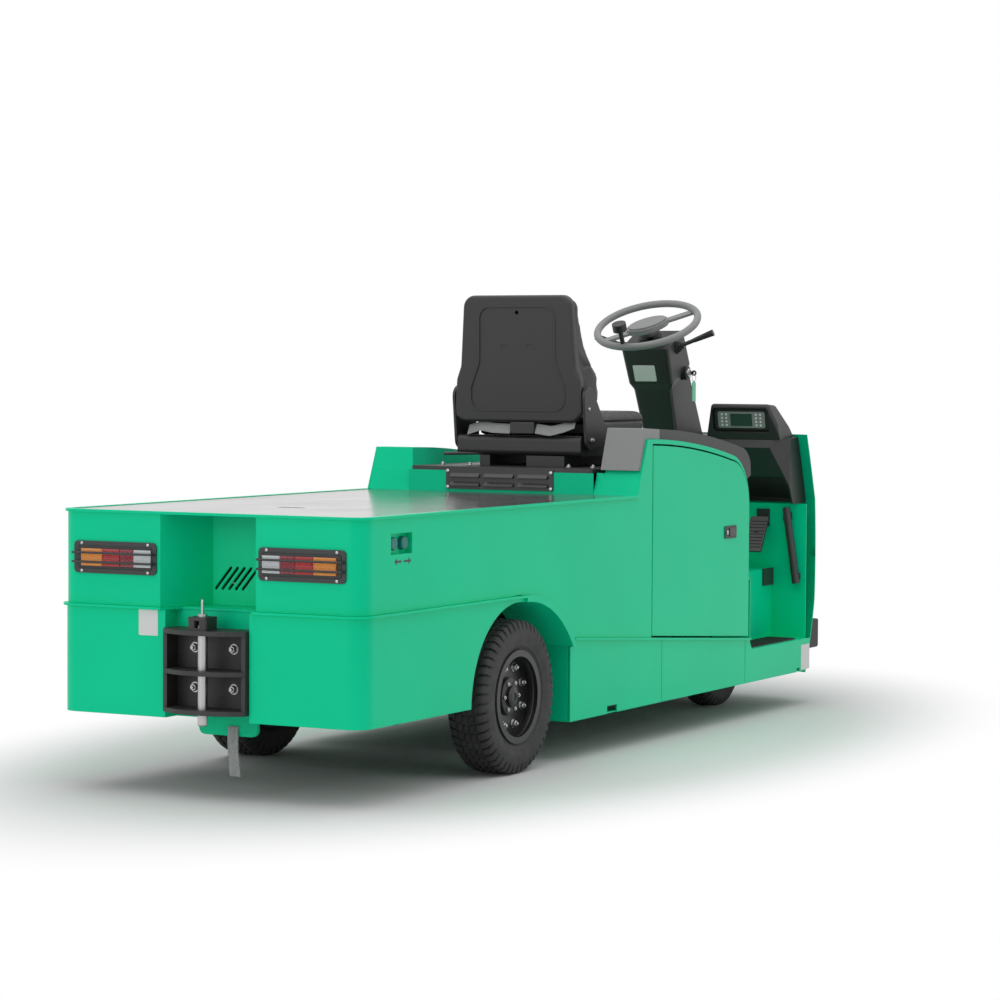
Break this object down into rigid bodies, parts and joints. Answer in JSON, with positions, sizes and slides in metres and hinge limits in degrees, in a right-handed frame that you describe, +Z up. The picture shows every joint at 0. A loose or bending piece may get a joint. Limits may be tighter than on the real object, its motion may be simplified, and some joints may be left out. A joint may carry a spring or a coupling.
{
  "type": "airport baggage tug",
  "caption": "Low electric tow tractor with a flat rear deck, side pods round one driver's seat, an open walk-through cockpit, a curved front cowl and a pin hitch in the tail.",
  "frame": {"origin": "on the floor under the middle of the overall length and width", "axes": "+X forward towards the cowl, +Y to the driver's left, +Z up"},
  "size_m": [3.66, 1.1, 1.5583],
  "materials": {
    "green_paint": "satin sea-green paint",
    "deck_steel": "smooth dark steel, half gloss",
    "frame_black": "black chassis paint",
    "black_paint": "satin black paint",
    "cast_black": "black casting",
    "rim_black": "satin black wheel paint",
    "bare_steel": "bare steel, handled",
    "black_plastic": "grained black plastic",
    "grey_plastic": "light grey moulded plastic",
    "teal_plastic": "moulded teal plastic",
    "battery_grey": "dark grey battery box",
    "seat_vinyl": "black grained seat cover",
    "bumper_rubber": "black rubber",
    "strap_rubber": "grey conductive rubber",
    "lamp_glass": "clear lamp glass",
    "lens_red": "red and amber lens",
    "tyre": "black rubber"
  },
  "bodies": {
    "vehicle": {"chassis_frame": "frame_black", "upper_shell": "green_paint", "side_buttons": "teal_plastic", "rear_skirt": "green_paint", "wheel_housings": "green_paint", "fore_skirt_right": "green_paint", "fore_skirt_left": "green_paint", "deck_plate_rear": "deck_steel", "deck_plate_front": "deck_steel", "riser_panel": "green_paint", "louvre_plate": "black_paint", "pod_right": "green_paint", "pod_left": "green_paint", "console_right": "grey_plastic", "pod_trim": "black_plastic", "cockpit_tub": "green_paint", "battery_box": "battery_grey", "rear_axle": "frame_black", "front_axle": "frame_black", "dash_body": "black_plastic", "binnacle": "black_plastic", "front_cowl": "green_paint", "front_bumper": "bumper_rubber", "headlamps": "lamp_glass", "tail_lamps": "lens_red", "tail_guards": "black_paint", "hitch_casting": "cast_black", "tow_plate": "green_paint", "static_strap": "strap_rubber", "steering_column": "black_plastic", "pedals": "black_paint", "grab_posts": "black_paint"},
    "door_right": {"side_door_right": "green_paint"},
    "door_left": {"side_door_left": "green_paint"},
    "seat": {"seat_lid": "black_paint", "seat_base": "black_plastic", "seat_cushion": "seat_vinyl", "seat_back_shell": "black_plastic", "seat_back_pad": "seat_vinyl"},
    "helm": {"steering_wheel": "black_plastic"},
    "pin": {"hitch_pin": "bare_steel"},
    "knuckle_r": {"knuckle_right": "frame_black"},
    "knuckle_l": {"knuckle_left": "frame_black"},
    "wheel_front_right": {"tyre_front_right": "tyre", "rim_front_right": "rim_black"},
    "wheel_front_left": {"tyre_front_left": "tyre", "rim_front_left": "rim_black"},
    "wheel_rear_right": {"tyre_rear_right": "tyre", "rim_rear_right": "rim_black"},
    "wheel_rear_left": {"tyre_rear_left": "tyre", "rim_rear_left": "rim_black"}
  },
  "joints": [
    {"name": "door_right_hinge", "type": "hinge", "parent": "vehicle", "child": "door_right", "pos_m": [0.206, -0.542, 0.7], "axis": [0, 0, -1], "range_deg": [0, 100]},
    {"name": "door_left_hinge", "type": "hinge", "parent": "vehicle", "child": "door_left", "pos_m": [0.206, 0.542, 0.7], "axis": [0, 0, 1], "range_deg": [0, 100]},
    {"name": "seat_tilt", "type": "hinge", "parent": "vehicle", "child": "seat", "pos_m": [0.085, 0, 0.952], "axis": [0, -1, 0], "range_deg": [0, 50]},
    {"name": "steering_wheel_turn", "type": "hinge", "parent": "vehicle", "child": "helm", "pos_m": [1.283, 0, 1.459], "axis": [-0.4384, 0, 0.8988], "range_deg": [-480, 480]},
    {"name": "hitch_pin_lift", "type": "slide", "parent": "vehicle", "child": "pin", "axis": [0, 0, 1], "range_m": [0, 0.16]},
    {"name": "steer_right", "type": "hinge", "parent": "vehicle", "child": "knuckle_r", "pos_m": [1.393, -0.15, 0.2075], "axis": [0, 0, 1], "range_deg": [-40, 40]},
    {"name": "steer_left", "type": "hinge", "parent": "vehicle", "child": "knuckle_l", "pos_m": [1.393, 0.15, 0.2075], "axis": [0, 0, 1], "range_deg": [-40, 40]},
    {"name": "front_right_spin", "type": "hinge", "parent": "knuckle_r", "child": "wheel_front_right", "pos_m": [1.393, -0.225, 0.2075], "axis": [0, 1, 0], "continuous": true},
    {"name": "front_left_spin", "type": "hinge", "parent": "knuckle_l", "child": "wheel_front_left", "pos_m": [1.393, 0.225, 0.2075], "axis": [0, 1, 0], "continuous": true},
    {"name": "rear_right_spin", "type": "hinge", "parent": "vehicle", "child": "wheel_rear_right", "pos_m": [-0.762, -0.462, 0.247], "axis": [0, 1, 0], "continuous": true},
    {"name": "rear_left_spin", "type": "hinge", "parent": "vehicle", "child": "wheel_rear_left", "pos_m": [-0.762, 0.462, 0.247], "axis": [0, 1, 0], "continuous": true}
  ],
  "couplings": [
    {"joint": "steer_left", "follows": "steer_right", "ratio": 1},
    {"joint": "steering_wheel_turn", "follows": "steer_right", "ratio": 12}
  ]
}
